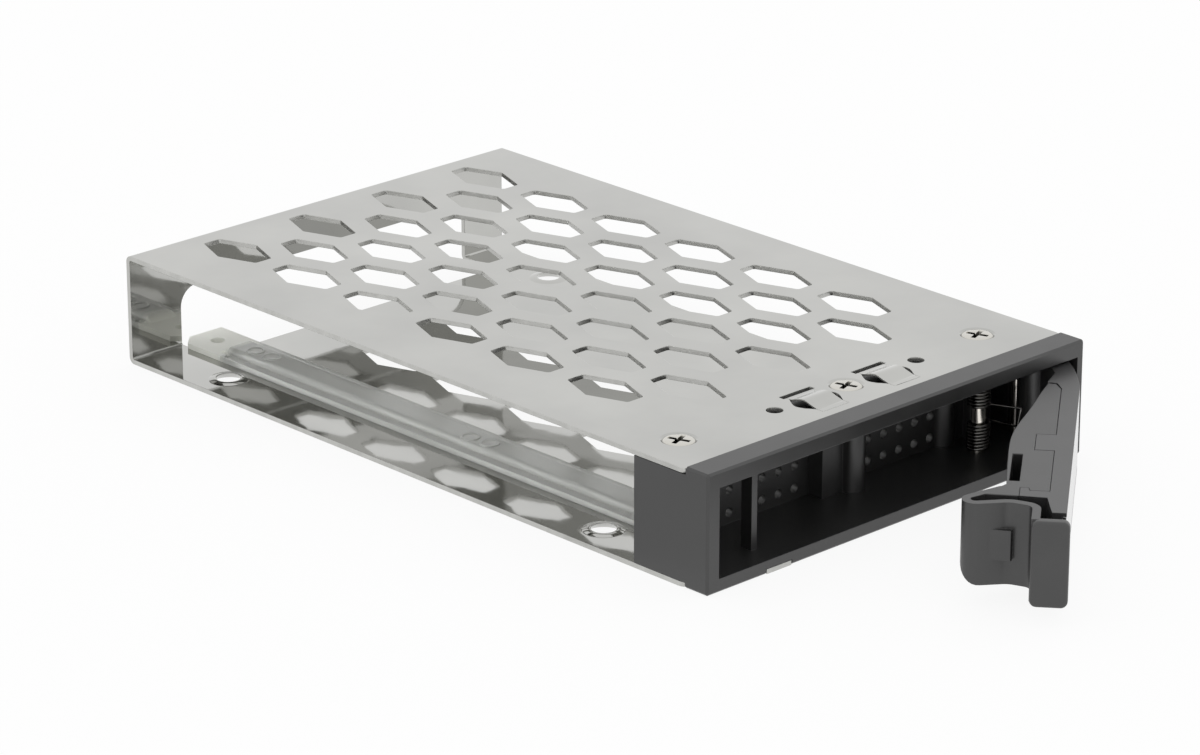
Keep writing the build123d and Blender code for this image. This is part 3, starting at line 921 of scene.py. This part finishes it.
def make_floor():
    """A white floor that keeps a soft shadow."""
    mesh = bpy.data.meshes.new("floor")
    half = FLOOR_SIZE / 2
    z = -FLOOR_DROP
    corners = [(-half, -half, z), (half, -half, z), (half, half, z), (-half, half, z)]
    mesh.from_pydata(corners, [], [(0, 1, 2, 3)])
    floor = linked("floor", mesh)
    material = bpy.data.materials.new("floor_white")
    tree, out = node_tree(material)
    diffuse = tree.nodes.new("ShaderNodeBsdfDiffuse")
    diffuse.inputs["Color"].default_value = (FLOOR_WHITE, FLOOR_WHITE, FLOOR_WHITE, 1)
    glow = tree.nodes.new("ShaderNodeEmission")
    glow.inputs["Color"].default_value = WHITE
    share = tree.nodes.new("ShaderNodeMath")
    share.operation = "MULTIPLY"
    share.inputs[1].default_value = FLOOR_GLOW_SHARE
    link(tree, background_share(tree), share.inputs[0])
    mix = tree.nodes.new("ShaderNodeMixShader")
    link(tree, share.outputs[0], mix.inputs["Fac"])
    link(tree, diffuse.outputs["BSDF"], mix.inputs[1])
    link(tree, glow.outputs["Emission"], mix.inputs[2])
    link(tree, mix.outputs["Shader"], out.inputs["Surface"])
    mesh.materials.append(material)


def make_world():
    """An even pale surround."""
    world = bpy.data.worlds.new("surround")
    bpy.context.scene.world = world
    world.use_nodes = True
    tree = world.node_tree
    tree.nodes.clear()
    out = tree.nodes.new("ShaderNodeOutputWorld")
    soft = tree.nodes.new("ShaderNodeBackground")
    soft.inputs["Color"].default_value = WHITE
    soft.inputs["Strength"].default_value = WORLD_LEVEL
    seen = tree.nodes.new("ShaderNodeBackground")
    seen.inputs["Color"].default_value = WHITE
    mix = tree.nodes.new("ShaderNodeMixShader")
    link(tree, background_share(tree), mix.inputs["Fac"])
    link(tree, soft.outputs["Background"], mix.inputs[1])
    link(tree, seen.outputs["Background"], mix.inputs[2])
    link(tree, mix.outputs["Shader"], out.inputs["Surface"])


def make_camera():
    """The camera at the photograph's viewpoint."""
    data = bpy.data.cameras.new("camera")
    data.lens = CAMERA_LENS
    data.sensor_width = CAMERA_SENSOR
    data.sensor_fit = "HORIZONTAL"
    data.clip_start, data.clip_end = CAMERA_CLIP
    camera = linked("camera", data)
    camera.location = CAMERA_PLACE
    camera.rotation_euler = (math.radians(90 - CAMERA_DOWN), 0, math.radians(-CAMERA_TURN))
    bpy.context.scene.camera = camera


make_world()
make_floor()
make_camera()
bpy.context.scene.view_settings.view_transform = "Standard"

sheet = sheet_metal()
bezel_plastic = moulded("bezel_plastic", *BEZEL_LOOK)
dress(["bezel"], bezel_plastic)
dress(["lever_pivot_pin", "stop_pin"], bright_steel("pin_steel", *PIN_LOOK))

tray = tray_shell()
finish(tray, "tray_shell_folded", "tray", "sheet_steel", sheet, "tray_shell")
dress_cuts(tray, cut_metal())
spring_steel = bright_steel("spring_steel", *SPRING_LOOK)
finish(lever_spring(), "lever_spring_wound", "tray", "spring_steel", spring_steel, "lever_spring")
finish(bezel_ribs(), "bezel_ribs", "tray", "bezel_plastic", bezel_plastic)
pin_steel = bright_steel("spring_pin_steel", *SPRING_PIN_LOOK)
finish(spring_pin(), "spring_pin_turned", "tray", "pin_steel", pin_steel, "spring_pin")
screw_steel = plated_screw_with_painted_shade("screw_steel", *SCREW_LOOK)
for screw_name, spot in SCREW_PLACES.items():
    finish(screw(spot), screw_name + "_crossed", "tray", "screw_steel", screw_steel, screw_name)
guide_plastic = clear_plastic()
finish(light_guide(), "light_guide_clear", "tray", "clear_plastic", guide_plastic, "light_guide")
arm_plastic = moulded("lever_plastic", *LEVER_LOOK)
finish(lever_arm(), "lever_arm_rounded", "lever", "lever_plastic", arm_plastic, "lever_arm")
latch_plastic = moulded("latch_plastic", *LATCH_LOOK)
finish(lever_latch(), "lever_latch_rounded", "lever", "latch_plastic", latch_plastic, "lever_latch")
plate_steel = bright_steel("plate_steel", *PLATE_LOOK)
finish(lever_plate(), "lever_plate_bright", "lever", "plate_steel", plate_steel, "lever_front_plate")
